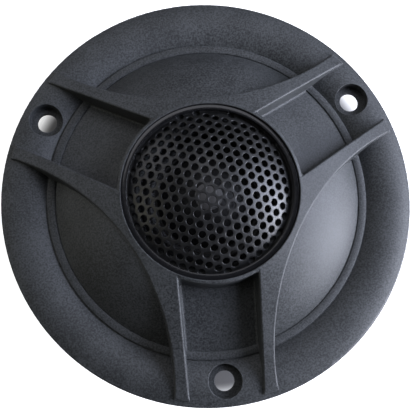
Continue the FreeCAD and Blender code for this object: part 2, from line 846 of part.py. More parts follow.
def terminal_board():
    """The board riveted behind the front plate, which carries the two spade terminals."""
    top = "front_plate_bottom"
    bottom = "front_plate_bottom - board_thickness"
    outer = "board_outer_radius + overcut"
    sector = common(
        "board_sector",
        ring("board_ring", "board_inner_radius", "board_outer_radius", bottom, top),
        box("board_width", "0", outer, "board_half_width", bottom, top, TERMINAL_ANGLE),
    )
    low, high = "%s - overcut" % bottom, "%s + overcut" % top
    holes = []
    for side in (-1, 1):
        place = {"across": "board_rivet_circle", "angle": side * value_of("board_rivet_angle")}
        clearance = "rivet_shank + fit_gap"
        holes.append(cylinder("board_hole_%d" % (side + 1), clearance, low, high, **place))
        post = cylinder("terminal_hole_%d" % (side + 1), clearance, low, high, across="terminal_rivet_across")
        bind(post, Placement__Base__y="%d * terminal_offset" % side)
        holes.append(post)
    finished(cut("board", sector, holes), "terminal_board")


def terminal(name, node, side, half_width):
    """A spade terminal bent square, its foot under the board and its blade pointing back."""
    foot_top = "(front_plate_bottom - board_thickness)"
    foot_under = "(%s - terminal_sheet)" % foot_top
    blade_outer = "(terminal_blade + terminal_sheet)"
    body = doc.addObject("PartDesign::Body", name + "_strip")
    outline = [
        ("terminal_foot", foot_under),
        ("terminal_blade - terminal_bend", foot_under, "-terminal_bend"),
        ("terminal_blade", "%s - terminal_bend" % foot_under),
        ("terminal_blade", "terminal_tip"),
        (blade_outer, "terminal_tip"),
        (blade_outer, "%s - terminal_bend" % foot_under, "terminal_bend + terminal_sheet"),
        ("terminal_blade - terminal_bend", foot_top),
        ("terminal_foot", foot_top),
    ]
    sketch = outline_in(body, name + "_bend", "XZ_Plane", outline)
    doc.recompute()
    width = body.newObject("PartDesign::Pad", name + "_width")
    width.Profile = sketch
    width.SideType = "Symmetric"
    bind(width, Length="2 * %s" % half_width)
    body.Tip = width
    low, high = "%s - overcut" % foot_under, "%s + overcut" % foot_top
    hole = cylinder(name + "_hole", "rivet_shank + fit_gap", low, high, across="terminal_rivet_across")
    dimple = doc.addObject("Part::Cylinder", name + "_dimple")
    bind(dimple, Radius="dimple_radius", Height="2 * overcut")
    dimple.Placement.Rotation = FreeCAD.Rotation(FreeCAD.Vector(0, 1, 0), 90)
    bind(dimple, Placement__Base__x="terminal_blade - overcut")
    bind(dimple, Placement__Base__z="terminal_tip + dimple_height")
    tab = cut(name, body, [hole, dimple])
    bind(tab, Placement__Base__y="%d * terminal_offset" % side)
    finished(tab, node)


def rivet(name, low, high):
    """A headed rivet that clamps everything between two heights."""
    return turned_solid(
        name,
        [
            ("0", "%s - rivet_head_height" % low),
            ("rivet_crown_radius", "%s - rivet_head_height" % low),
            ("rivet_head", low),
            ("rivet_shank", low),
            ("rivet_shank", high),
            ("rivet_head", high),
            ("rivet_crown_radius", "%s + rivet_head_height" % high),
            ("0", "%s + rivet_head_height" % high),
        ],
    )


def rivets():
    """Two rivets through the terminals and two that hold the board to the front plate."""
    through_terminal = []
    through_plate = []
    board_under = "(front_plate_bottom - board_thickness)"
    for side in (-1, 1):
        foot_under = "(%s - terminal_sheet)" % board_under
        post = rivet("terminal_rivet_%d" % (side + 1), foot_under, "front_plate_bottom")
        bind(post, Placement__Base__x="terminal_rivet_across")
        bind(post, Placement__Base__y="%d * terminal_offset" % side)
        through_terminal.append(post)
        post = rivet("board_rivet_%d" % (side + 1), board_under, "front_plate_top")
        through_plate.append(moved(post, "board_rivet_circle", side * value_of("board_rivet_angle")))
    finished(group("terminal_rivet_pair", through_terminal), "terminal_rivets")
    finished(group("board_rivet_pair", through_plate), "board_rivets")


def solder_tags():
    """Two small tags on the diaphragm ring, where the voice coil's ends meet the leads."""
    tags = []
    for side in (-1, 1):
        tag = box(
            "solder_tag_%d" % (side + 1), "tag_start", "tag_end", "tag_half_width", "carrier_top",
            "carrier_top + tag_sheet",
        )
        bind(tag, Placement__Base__y="%d * terminal_offset / 2 - tag_half_width" % side)
        tags.append(tag)
    finished(group("solder_tag_pair", tags), "solder_tags")


def lead(name, node, side):
    """An insulated lead from a terminal rivet, up through the notch and across to its solder tag."""
    radius = value_of("lead_radius")
    points = []
    for inward, share, height in LEAD_COURSE:
        across = value_of("terminal_rivet_across - (%s)" % inward)
        points.append(FreeCAD.Vector(across, side * share * value_of("terminal_offset"), value_of(height)))
    course = Part.BSplineCurve()
    course.interpolate(points)
    path = Part.Wire(course.toShape())
    start = Part.Circle(course.value(0), course.tangent(0)[0], radius).toShape()
    wire = doc.addObject("Part::Feature", name)
    wire.Shape = path.makePipeShell([Part.Wire(start)], True, False)
    finished(wire, node)


def build():
    """Make every sub-part."""
    face_plate()
    grille_ring()
    grille_mesh()
    dome()
    dome_cap()
    surround()
    voice_coil()
    carrier_and_gaskets()
    magnet_system()
    driver_screws()
    terminal_board()
    terminal("positive_tab", "positive_terminal", 1, "positive_half_width")
    terminal("negative_tab", "negative_terminal", -1, "negative_half_width")
    rivets()
    solder_tags()
    lead("positive_wire", "positive_lead", 1)
    lead("negative_wire", "negative_lead", -1)
    doc.recompute()


def check_and_write():
    """Refuse a broken model, then write one file for each sub-part."""
    for thing in doc.Objects:
        if "Invalid" in thing.State or "Error" in thing.State:
            raise RuntimeError("%s did not recompute: %s" % (thing.Name, thing.State))
    os.makedirs("parts", exist_ok=True)
    for thing in subparts:
        if thing.Shape.isNull() or not thing.Shape.isValid():
            raise RuntimeError("%s has no valid shape" % thing.Label)
        thing.Shape.exportStep("parts/%s.step" % thing.Label)


build()
check_and_write()
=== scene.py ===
"""Looks of the car tweeter: materials, soft pieces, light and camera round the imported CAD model.

Everything is in metres in the CAD frame: +Z out of the front, origin in the middle of the mounting plane.
"""
import json
import math

import bmesh
import bpy
from mathutils import Matrix, Vector, noise


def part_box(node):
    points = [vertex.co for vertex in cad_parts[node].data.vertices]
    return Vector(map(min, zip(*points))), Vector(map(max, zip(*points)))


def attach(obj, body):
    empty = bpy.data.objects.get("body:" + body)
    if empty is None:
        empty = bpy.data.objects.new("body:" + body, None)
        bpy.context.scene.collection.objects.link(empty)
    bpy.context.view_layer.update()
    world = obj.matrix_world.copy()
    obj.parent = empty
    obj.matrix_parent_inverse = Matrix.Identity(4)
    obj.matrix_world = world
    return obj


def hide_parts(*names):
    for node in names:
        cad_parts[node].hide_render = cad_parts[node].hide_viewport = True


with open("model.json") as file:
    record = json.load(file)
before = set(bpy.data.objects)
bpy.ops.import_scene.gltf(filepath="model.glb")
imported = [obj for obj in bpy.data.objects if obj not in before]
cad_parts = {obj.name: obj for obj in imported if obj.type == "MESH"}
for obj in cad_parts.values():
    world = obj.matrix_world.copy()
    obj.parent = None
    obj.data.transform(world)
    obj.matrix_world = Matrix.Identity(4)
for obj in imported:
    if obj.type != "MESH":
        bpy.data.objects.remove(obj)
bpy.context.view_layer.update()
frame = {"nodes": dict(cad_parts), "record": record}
nodes = frame["nodes"]

MM = 0.001
TAU = 2 * math.pi
RIM_TOP = 3.5 * MM  # the height of the flange's outer edge
WHITE = (1, 1, 1, 1)

BEVEL_SAMPLES = 6
WAVE_PITCH = 0.314  # metres between the stripes of a wave texture whose scale is 1

# A Mix node's colour sockets share their names with its other sockets, so they are known by their places.
MIX_SHARE, MIX_LOW, MIX_HIGH, MIX_RESULT = 0, 6, 7, 2


def grey(level):
    """A neutral colour."""
    return (level, level, level)


def dimmed(color, share):
    """A colour at a share of its brightness."""
    return tuple(share * part for part in color)


# ---------------------------------------------------------------- node helpers

class Look:
    """A node material round one Principled shader, with textures placed in object space."""

    def __init__(self, name, color, roughness, metallic=0.0):
        self.material = bpy.data.materials.new(name)
        self.material.use_nodes = True
        self.tree = self.material.node_tree
        self.shader = self.tree.nodes["Principled BSDF"]
        self.set("Base Color", (*color, 1))
        self.set("Roughness", roughness)
        self.set("Metallic", metallic)
        self.place = self.node("ShaderNodeTexCoord").outputs["Object"]
        self.surface = None

    def node(self, kind, **settings):
        """Add a shader node."""
        made = self.tree.nodes.new(kind)
        for name, value in settings.items():
            setattr(made, name, value)
        return made

    def feed(self, socket, value):
        """Give an input a value, or link it to an output."""
        if isinstance(value, bpy.types.NodeSocket):
            self.tree.links.new(value, socket)
        else:
            socket.default_value = value

    def set(self, name, value):
        """Set or link one of the Principled shader's inputs."""
        self.feed(self.shader.inputs[name], value)

    def stretched(self, stretch):
        """Object space scaled by three factors."""
        mapping = self.node("ShaderNodeMapping")
        self.feed(mapping.inputs["Vector"], self.place)
        mapping.inputs["Scale"].default_value = stretch
        return mapping.outputs["Vector"]

    def noise(self, size, detail=3.0, stretch=(1, 1, 1)):
        """Noise with blotches about this many millimetres across."""
        texture = self.node("ShaderNodeTexNoise")
        self.feed(texture.inputs["Vector"], self.stretched(stretch))
        texture.inputs["Scale"].default_value = 1 / (size * MM)
        texture.inputs["Detail"].default_value = detail
        return texture.outputs["Fac"]

    def cells(self, size):
        """Voronoi cells about this many millimetres across."""
        texture = self.node("ShaderNodeTexVoronoi")
        self.feed(texture.inputs["Vector"], self.place)
        texture.inputs["Scale"].default_value = 1 / (size * MM)
        return texture.outputs["Distance"]

    def wave(self, pitch, bands="Z", rings=False, wobble=0.0):
        """Stripes or rings about +Z, this many millimetres apart."""
        settings = {"wave_type": "RINGS", "rings_direction": "Z"} if rings else {"bands_direction": bands}
        texture = self.node("ShaderNodeTexWave", **settings)
        self.feed(texture.inputs["Vector"], self.place)
        texture.inputs["Scale"].default_value = WAVE_PITCH / (pitch * MM)
        texture.inputs["Distortion"].default_value = wobble
        return texture.outputs["Fac"]

    def ramp(self, value, low, high, start=0.0, end=1.0, smooth=False):
        """Turn a value between start and end into a number, or a colour, between low and high."""
        spread = self.node("ShaderNodeMapRange", clamp=True)
        if smooth:
            spread.interpolation_type = "SMOOTHSTEP"
        self.feed(spread.inputs["Value"], value)
        spread.inputs["From Min"].default_value = start
        spread.inputs["From Max"].default_value = end
        if isinstance(low, (int, float)):
            spread.inputs["To Min"].default_value = low
            spread.inputs["To Max"].default_value = high
            return spread.outputs["Result"]
        return self.mix(spread.outputs["Result"], low, high)

    def mix(self, share, low, high):
        """Blend two colours; either may be a tuple or an output."""
        blend = self.node("ShaderNodeMix", data_type="RGBA")
        self.feed(blend.inputs[MIX_SHARE], share)
        self.feed(blend.inputs[MIX_LOW], low if isinstance(low, bpy.types.NodeSocket) else (*low, 1))
        self.feed(blend.inputs[MIX_HIGH], high if isinstance(high, bpy.types.NodeSocket) else (*high, 1))
        return blend.outputs[MIX_RESULT]

    def math(self, operation, first, second):
        """One step of arithmetic, kept between 0 and 1."""
        made = self.node("ShaderNodeMath", operation=operation, use_clamp=True)
        self.feed(made.inputs[0], first)
        self.feed(made.inputs[1], second)
        return made.outputs[0]

    def rounded(self, radius):
        """Shade edges as if rounded to this many millimetres."""
        bevel = self.node("ShaderNodeBevel", samples=BEVEL_SAMPLES)
        bevel.inputs["Radius"].default_value = radius * MM
        self.surface = bevel.outputs["Normal"]
        self.set("Normal", self.surface)
        return self

    def edges(self, radius, sharpness=6.0):
        """Near 1 on edges and near 0 on open faces, within this many millimetres of an edge."""
        bevel = self.node("ShaderNodeBevel", samples=BEVEL_SAMPLES)
        bevel.inputs["Radius"].default_value = radius * MM
        facing = self.node("ShaderNodeVectorMath", operation="DOT_PRODUCT")
        self.feed(facing.inputs[0], bevel.outputs["Normal"])
        self.feed(facing.inputs[1], self.node("ShaderNodeNewGeometry").outputs["Normal"])
        away = self.math("SUBTRACT", 1.0, facing.outputs["Value"])
        return self.math("MULTIPLY", away, sharpness)

    def bump(self, height, depth, strength=1.0):
        """Raise the surface by a pattern whose full height is this many millimetres."""
        made = self.node("ShaderNodeBump")
        made.inputs["Strength"].default_value = strength
        made.inputs["Distance"].default_value = depth * MM
        self.feed(made.inputs["Height"], height)
        if self.surface is not None:
            self.feed(made.inputs["Normal"], self.surface)
        self.surface = made.outputs["Normal"]
        self.set("Normal", self.surface)


# ---------------------------------------------------------------- materials

def moulded_plastic(name, dark, pale, worn):
    """Matt spark-textured plastic: faintly cloudy colour, fine grain, paler rubbed edges."""
    look = Look(name, dark, 0.56).rounded(0.25)
    clouds = look.noise(9, detail=4)
    grain = look.noise(0.42, detail=3)
    mixed = look.math("ADD", look.math("MULTIPLY", clouds, 0.25), look.math("MULTIPLY", grain, 0.75))
    base = look.ramp(mixed, dark, pale, start=0.38, end=0.62)
    patches = look.ramp(look.noise(2.5, detail=5), 0.1, 1.0, start=0.45, end=0.62)
    base = look.mix(look.math("MULTIPLY", look.edges(0.35), patches), base, worn)
    look.set("Base Color", base)
    look.set("Roughness", look.ramp(grain, 0.52, 0.62, start=0.35, end=0.65))
    look.bump(grain, depth=0.02, strength=0.5)
    look.bump(look.cells(0.4), depth=0.012, strength=0.4)
    return look


def gloss_plastic(name, color):
    """Polished black plastic with hair-fine rubbing marks."""
    look = Look(name, color, 0.16).rounded(0.12)
    marks = look.noise(0.6, detail=4, stretch=(1, 1, 6))
    look.set("Roughness", look.ramp(marks, 0.1, 0.26, start=0.35, end=0.7))
    look.set("Coat Weight", 0.4)
    look.set("Coat Roughness", 0.08)
    look.bump(look.noise(4, detail=2), depth=0.02, strength=0.3)
    return look


def painted_grille(name):
    """Thin semi-gloss black paint on perforated steel, rubbed paler on the rims of the holes."""
    look = Look(name, grey(0.010), 0.34).rounded(0.3)
    base = look.ramp(look.noise(2.5, detail=4), grey(0.010), grey(0.022), start=0.35, end=0.65)
    patches = look.ramp(look.noise(3.5, detail=3), 0.2, 1.0, start=0.4, end=0.6)
    rubbed = look.math("MULTIPLY", look.edges(0.12, sharpness=3.0), patches)
    look.set("Base Color", look.mix(rubbed, base, grey(0.05)))
    look.set("Roughness", look.ramp(look.noise(0.8, detail=4), 0.3, 0.44, start=0.35, end=0.65))
    look.bump(look.noise(0.25, detail=2), depth=0.012, strength=0.4)
    return look


def plated_steel(name, turned=False):
    """Zinc-plated steel with a faint passivation tint and turning or rolling marks."""
    look = Look(name, (0.56, 0.56, 0.54), 0.34, 1.0).rounded(0.3)
    tint = look.ramp(look.noise(9, detail=3), (0.50, 0.51, 0.53), (0.62, 0.59, 0.50), start=0.35, end=0.65)
    spangle = look.ramp(look.cells(1.6), 0.85, 1.0, start=0.0, end=0.8)
    dull = look.ramp(look.noise(7, detail=3), 0.0, 0.4, start=0.5, end=0.75)
    look.set("Base Color", look.mix(dull, tint, (0.30, 0.29, 0.27)))
    if turned:
        faces = look.wave(0.5, rings=True, wobble=0.2)
        sides = look.wave(0.4, bands="Z", wobble=0.2)
        grain = look.math("MULTIPLY", faces, sides)
    else:
        grain = look.noise(0.5, detail=4, stretch=(1, 12, 1))
    look.set("Roughness", look.math("MULTIPLY", look.ramp(grain, 0.3, 0.48, start=0.2, end=0.8), spangle))
    look.bump(grain, depth=0.008, strength=0.3)
    look.bump(look.noise(0.8, detail=2), depth=0.008, strength=0.2)
    return look


def ferrite(name):
    """Ground ceramic magnet: dark grey, slightly sparkling, chipped paler along its edges."""
    look = Look(name, (0.045, 0.046, 0.05), 0.62).rounded(0.25)
    clouds = look.noise(4, detail=6)
    base = look.ramp(clouds, (0.034, 0.035, 0.038), (0.070, 0.070, 0.074), start=0.35, end=0.65)
    patches = look.ramp(look.noise(1.6, detail=5), 0.0, 1.0, start=0.52, end=0.62)
    chips = look.math("MULTIPLY", look.edges(0.5), patches)
    look.set("Base Color", look.mix(chips, base, (0.16, 0.16, 0.165)))
    look.set("Roughness", look.ramp(look.cells(0.35), 0.5, 0.75))
    look.bump(look.noise(0.5, detail=5), depth=0.05, strength=0.5)
    look.bump(look.noise(0.9, detail=3, stretch=(1, 1, 14)), depth=0.02, strength=0.4)
    return look


def foam(name):
    """Closed-cell foam: soft black with small open pores, their hollows painted darker as shade."""
    look = Look(name, (0.025, 0.025, 0.026), 0.92)
    pores = look.cells(0.7)
    # The pores' middles, where the bump dips, are painted darker as shade inside them.
    look.set("Base Color", look.ramp(pores, grey(0.010), (0.05, 0.05, 0.052), start=0.05, end=0.5))
    look.set("Sheen Weight", 0.25)
    look.bump(pores, depth=0.18, strength=0.7)
    look.bump(look.noise(2.5, detail=3), depth=0.15, strength=0.4)
    return look


def felt(name):
    """Pressed grey wool felt with crossing fibres."""
    look = Look(name, (0.34, 0.33, 0.31), 0.95)
    one_way = look.noise(0.5, detail=4, stretch=(1, 9, 1))
    other_way = look.noise(0.5, detail=4, stretch=(9, 1, 1))
    fibres = look.math("ADD", one_way, other_way)
    look.set("Base Color", look.ramp(fibres, (0.20, 0.19, 0.18), (0.46, 0.45, 0.42), start=0.6, end=1.0))
    look.set("Sheen Weight", 0.6)
    look.bump(fibres, depth=0.2, strength=0.8)
    return look


def coated_cloth(name, dark, pale):
    """Fine cloth coated with damping lacquer, for the dome and its surround."""
    look = Look(name, dark, 0.55)
    weave = look.math("MULTIPLY", look.wave(0.28, bands="X"), look.wave(0.28, bands="Y"))
    look.set("Base Color", look.ramp(look.noise(2, detail=4), dark, pale, start=0.3, end=0.7))
    look.set("Roughness", look.ramp(weave, 0.5, 0.68))
    look.set("Coat Weight", 0.05)
    look.set("Coat Roughness", 0.35)
    look.bump(weave, depth=0.02, strength=0.4)
    return look


def pale_metal(name, color, roughness):
    """Thin pale foil, lightly rolled."""
    look = Look(name, color, roughness, 0.6)
    grain = look.noise(0.5, detail=4, stretch=(1, 8, 1))
    clouds = look.noise(1.5, detail=3)
    look.set("Base Color", look.ramp(clouds, color, dimmed(color, 0.86), start=0.35, end=0.65))
    look.set("Roughness", look.ramp(grain, roughness - 0.06, roughness + 0.1, start=0.3, end=0.7))
    look.bump(grain, depth=0.008, strength=0.4)
    return look


def copper_wire(name):
    """Enamelled copper, the turns of wire seen as fine ridges."""
    look = Look(name, (0.55, 0.20, 0.07), 0.28, 1.0)
    clouds = look.noise(0.9, detail=3)
    look.set("Base Color", look.ramp(clouds, (0.46, 0.15, 0.05), (0.66, 0.27, 0.10), start=0.35, end=0.65))
    look.set("Coat Weight", 0.7)
    look.set("Coat Roughness", 0.12)
    look.bump(look.wave(0.15, bands="Z"), depth=0.03, strength=0.5)
    return look


def phenolic_board(name):
    """Brown paper-phenolic board: pressed sheet with faint fibres and darker sawn edges."""
    look = Look(name, (0.22, 0.105, 0.045), 0.45).rounded(0.12)
    fibres = look.noise(0.7, detail=5, stretch=(6, 1, 1))
    base = look.ramp(fibres, (0.15, 0.068, 0.028), (0.28, 0.14, 0.062), start=0.3, end=0.7)
    look.set("Base Color", look.mix(look.edges(0.25), base, (0.10, 0.045, 0.02)))
    look.set("Roughness", look.ramp(look.noise(1.2, detail=4), 0.35, 0.58, start=0.3, end=0.7))
    look.bump(fibres, depth=0.02, strength=0.4)
    return look


def bright_metal(name, color, tarnish, roughness):
    """Bare or plated metal, dulled in patches."""
    look = Look(name, color, roughness, 1.0).rounded(0.12)
    patches = look.ramp(look.noise(1.4, detail=5), 0.0, 0.7, start=0.48, end=0.7)
    look.set("Base Color", look.mix(patches, color, tarnish))
    marks = look.noise(0.5, detail=4, stretch=(1, 1, 7))
    look.set("Roughness", look.ramp(marks, roughness - 0.06, roughness + 0.14, start=0.3, end=0.7))
    look.bump(look.noise(0.4, detail=3), depth=0.01, strength=0.3)
    return look


def wire_jacket(name, color):
    """Soft PVC insulation, slightly uneven and dusty."""
    look = Look(name, color, 0.4)
    dust = look.noise(0.8, detail=4)
    look.set("Base Color", look.ramp(dust, color, dimmed(color, 0.7), start=0.4, end=0.7))
    look.set("Roughness", look.ramp(look.noise(0.5, detail=3), 0.32, 0.5, start=0.3, end=0.7))
    look.set("Subsurface Weight", 0.05)
    look.bump(look.noise(1.2, detail=3), depth=0.03, strength=0.4)
    return look


def glue(name, color):
    """Cured adhesive, glossy and uneven."""
    look = Look(name, color, 0.25)
    clouds = look.noise(1.5, detail=3)
    look.set("Base Color", look.ramp(clouds, color, dimmed(color, 0.6), start=0.35, end=0.65))
    look.set("Coat Weight", 0.5)
    look.bump(look.noise(1.0, detail=3), depth=0.08, strength=0.5)
    return look


LOOKS = {
    "faceplate": moulded_plastic(
        "faceplate_look", (0.019, 0.0205, 0.021), (0.067, 0.071, 0.0725), (0.082, 0.086, 0.088)
    ),
    "gloss_ring": gloss_plastic("gloss_ring_look", (0.008, 0.008, 0.009)),
    "grille_steel": painted_grille("grille_look"),
    "dome_film": coated_cloth("dome_look", grey(0.006), (0.013, 0.012, 0.012)),
    "cap": pale_metal("cap_look", (0.19, 0.185, 0.185), 0.45),
    "surround": coated_cloth("surround_look", grey(0.010), grey(0.018)),
    "former": pale_metal("former_look", (0.70, 0.70, 0.71), 0.3),
    "winding": copper_wire("winding_look"),
    "carrier": moulded_plastic(
        "carrier_look", (0.018, 0.018, 0.019), (0.030, 0.030, 0.031), grey(0.08)
    ),
    "foam": foam("foam_look"),
    "plated_steel": plated_steel("front_plate_look"),
    "ferrite": ferrite("ferrite_look"),
    "felt": felt("felt_look"),
    "screw_steel": bright_metal("screw_look", (0.50, 0.50, 0.48), (0.28, 0.26, 0.23), 0.36),
    "board": phenolic_board("board_look"),
    "terminal_metal": bright_metal("terminal_look", (0.50, 0.49, 0.45), (0.32, 0.29, 0.24), 0.44),
    "rivet_metal": bright_metal("rivet_look", (0.60, 0.48, 0.27), (0.36, 0.27, 0.15), 0.4),
    "tag_brass": bright_metal("tag_look", (0.72, 0.60, 0.35), (0.40, 0.30, 0.16), 0.3),
    "lead_red": wire_jacket("red_jacket_look", (0.36, 0.012, 0.010)),
    "lead_black": wire_jacket("black_jacket_look", grey(0.014)),
}
TURNED_STEEL = plated_steel("yoke_look", turned=True)
ADHESIVE = glue("adhesive_look", (0.05, 0.035, 0.02))
SOLDER = bright_metal("solder_look", grey(0.48), (0.30, 0.30, 0.29), 0.34)


def dress(piece, look):
    """Put one material on a piece."""
    piece.data.materials.clear()
    piece.data.materials.append(look.material)


def dress_cad_nodes():
    """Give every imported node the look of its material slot."""
    for row in frame["record"]["subparts"]:
        dress(nodes[row["node"]], LOOKS[row["material_slot"]])
    dress(nodes["yoke"], TURNED_STEEL)


dress_cad_nodes()


# ---------------------------------------------------------------- soft and small pieces

SCREW_ANGLES = (30, 150, 270)
SCREW_CIRCLE = frame["record"]["mounts"][0]["dims"]["pcd_mm"] / 2 * MM
SCREW_CLEARANCE = 5.4 * MM  # from a screw's axis to the nearest foam

ROLL_FILM = 0.25 * MM
ROLL_INNER_LIP = 0.3 * MM
ROLL_OUTER_LIP = 0.9 * MM
ROLL_START_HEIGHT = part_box("dome_diaphragm")[0].z + ROLL_FILM / 2

COIL_TURNS = 18
COIL_GROOVE = 0.06 * MM

GLUE_RADIUS = 0.42 * MM
GLUE_UNEVENNESS = 0.3 * MM
GLUE_LUMP = 3 * MM
GLUE_STANDOFF = 0.7  # from the joint to the bead's middle, as a share of the bead's radius

# A solder drop's outline from the top down, as shares of its radius and its height.
DROP_OUTLINE = ((0.18, 1.0), (0.42, 0.93), (0.6, 0.75), (0.68, 0.52), (0.74, 0.3), (0.86, 0.12), (1.0, 0.0))


def finished_piece(name, shape, body, slot, look, *replaced):
    """Turn a bmesh into a smooth piece of the scene that rides on its body."""
    bmesh.ops.recalc_face_normals(shape, faces=shape.faces)
    mesh = bpy.data.meshes.new(name)
    shape.to_mesh(mesh)
    shape.free()
    for face in mesh.polygons:
        face.use_smooth = True
    piece = bpy.data.objects.new(name, mesh)
    bpy.context.scene.collection.objects.link(piece)
    dress(piece, look)
    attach(piece, body)
    if replaced:
        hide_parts(*replaced)


def skinned(shape, loops, closed):
    """Join loops of points, all of one length, into a skin; an open run of loops gets capped ends."""
    rows = [[shape.verts.new(point) for point in loop] for loop in loops]
    count = len(rows[0])
    pairs = zip(rows, rows[1:] + rows[:1]) if closed else zip(rows, rows[1:])
    for row, following in pairs:
        for index in range(count):
            after = (index + 1) % count
            shape.faces.new((row[index], row[after], following[after], following[index]))
    if not closed:
        for row in (rows[0], rows[-1]):
            middle = shape.verts.new(sum((point.co for point in row), Vector()) / count)
            for index in range(count):
                shape.faces.new((row[index], row[(index + 1) % count], middle))
    return shape


def pillowed(inner, outer, low, high, corner, steps=4):
    """A closed section of (radius, height) points: a rectangle whose corners are arcs of a quarter turn."""
    # Each corner: the middle of its arc, and the angle in degrees at which the arc starts.
    corners = [
        (outer - corner, high - corner, 0),
        (inner + corner, high - corner, 90),
        (inner + corner, low + corner, 180),
        (outer - corner, low + corner, 270),
    ]
    section = []
    for across, up, start in corners:
        for step in range(steps + 1):
            turn = math.radians(start + 90 * step / steps)
            section.append((across + corner * math.cos(turn), up + corner * math.sin(turn)))
    return section


def around(radius, angle, height):
    """The point at a radius, an angle in radians and a height."""
    return Vector((radius * math.cos(angle), radius * math.sin(angle), height))


def roughened(point, lump, depth):
    """Move a point by smooth noise; the same point always moves the same way."""
    return point + noise.noise_vector(point / lump) * depth


def lathed(section, lump=MM, depth=0.0, steps=180):
    """Turn a closed section all the way round +Z; with a depth, its surface becomes uneven by that much."""
    loops = []
    for step in range(steps):
        angle = TAU * step / steps
        loops.append([roughened(around(radius, angle, height), lump, depth) for radius, height in section])
    return skinned(bmesh.new(), loops, closed=True)


def radii(node):
    """Inner and outer radius of a round CAD node."""
    spread = [math.hypot(vertex.co.x, vertex.co.y) for vertex in nodes[node].data.vertices]
    return min(spread), max(spread)


def heights(node):
    """Lowest and highest Z of a CAD node."""
    low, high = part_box(node)
    return low.z, high.z


def foam_gasket():
    """Three arcs of foam tape behind the flange, cut away round the screws."""
    inner, outer = radii("mounting_gasket")
    section = pillowed(inner, outer, *heights("mounting_gasket"), corner=0.3 * MM)
    steps = 60
    shape = bmesh.new()
    for first_screw in SCREW_ANGLES:
        loops = [[] for step in range(steps + 1)]
        for radius, height in section:
            cosine = (radius ** 2 + SCREW_CIRCLE ** 2 - SCREW_CLEARANCE ** 2) / (2 * radius * SCREW_CIRCLE)
            margin = math.acos(cosine)
            for step, loop in enumerate(loops):
                angle = math.radians(first_screw) + margin + (TAU / 3 - 2 * margin) * step / steps
                loop.append(roughened(around(radius, angle, height), lump=1.2 * MM, depth=0.03 * MM))
        skinned(shape, loops, closed=False)
    finished_piece("foam_gasket", shape, "chassis", "foam", LOOKS["foam"], "mounting_gasket")


def soft_ring(name, node, slot, corner, lump, depth):
    """A soft pressed ring in the place of a plain CAD one."""
    section = pillowed(*radii(node), *heights(node), corner)
    finished_piece(name, lathed(section, lump, depth), "chassis", slot, LOOKS[slot], node)


def half_roll():
    """The coated cloth roll between the dome and its carrier, thin and evenly arched."""
    inner, outer = radii("surround")
    low, high = heights("surround")
    start, end = inner + ROLL_INNER_LIP, outer - ROLL_OUTER_LIP
    foot = low + ROLL_FILM / 2
    rise = high - ROLL_FILM / 2 - ROLL_START_HEIGHT
    steps = 16
    line = [(inner, ROLL_START_HEIGHT), (start, ROLL_START_HEIGHT)]
    for step in range(1, steps):
        share = step / steps
        base = ROLL_START_HEIGHT + (foot - ROLL_START_HEIGHT) * share
        line.append((start + (end - start) * share, base + rise * math.sin(math.pi * share)))
    line += [(end, foot), (outer, foot)]
    above = [(radius, height + ROLL_FILM / 2) for radius, height in line]
    below = [(radius, height - ROLL_FILM / 2) for radius, height in reversed(line)]
    shape = lathed(above + below)
    finished_piece("half_roll_surround", shape, "chassis", "surround", LOOKS["surround"], "surround")


def wound_coil():
    """The voice coil's wire, turn upon turn."""
    inner, outer = radii("voice_coil_winding")
    low, high = heights("voice_coil_winding")
    points = 5
    section = [(inner, high), (inner, low)]
    for step in range(COIL_TURNS * points + 1):
        share = step / (COIL_TURNS * points)
        scallop = abs(math.sin(math.pi * step / points))
        section.append((outer - COIL_GROOVE * (1 - scallop), low + (high - low) * share))
    shape = lathed(section, steps=120)
    finished_piece("wound_coil", shape, "moving_assembly", "winding", LOOKS["winding"], "voice_coil_winding")


def glue_bead(name, radius, height, side):
    """A bead of adhesive squeezed out of a joint of the magnet; side 1 is above the height, -1 below it."""
    loops = []
    steps = 240
    points = 10
    for step in range(steps):
        angle = TAU * step / steps
        along = around(radius, angle, height)
        size = GLUE_RADIUS + GLUE_UNEVENNESS * noise.noise(along / GLUE_LUMP)
        middle = height + side * size * GLUE_STANDOFF
        loop = []
        for point in range(points):
            turn = TAU * point / points
            loop.append(around(radius + size * math.cos(turn), angle, middle + side * size * math.sin(turn)))
        loops.append(loop)
    shape = skinned(bmesh.new(), loops, closed=True)
    finished_piece(name, shape, "chassis", "carrier", ADHESIVE)


def solder_drop(shape, place, radius, height):
    """A drop of solder that has wetted what it stands on: full at the top, flared at the foot."""
    loops = []
    steps = 28
    for across, up in DROP_OUTLINE:
        loop = []
        for step in range(steps):
            point = around(radius * across, TAU * step / steps, height * up) + place
            loop.append(roughened(point, lump=0.9 * MM, depth=0.1 * MM * up))
        loops.append(loop)
    skinned(shape, loops, closed=False)


def solder_joints():
    """Solder over the leads' ends, on the terminal rivets and on the diaphragm's tags."""
    rivet_low, rivet_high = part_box("terminal_rivets")
    tag_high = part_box("solder_tags")[1]
    rivet_radius = (rivet_high.x - rivet_low.x) / 2
    near_lead_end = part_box("positive_lead")[0].x + 0.9 * MM
    inside_tag_edge = tag_high.y - 1.5 * MM
    shape = bmesh.new()
    for side in (-1, 1):
        on_rivet = Vector((rivet_low.x + rivet_radius, side * (rivet_high.y - rivet_radius), rivet_high.z))
        solder_drop(shape, on_rivet, radius=1.3 * MM, height=0.9 * MM)
        on_tag = Vector((near_lead_end, side * inside_tag_edge, tag_high.z))
        solder_drop(shape, on_tag, radius=1.2 * MM, height=1.1 * MM)
    finished_piece("solder_joints", shape, "chassis", "terminal_metal", SOLDER)


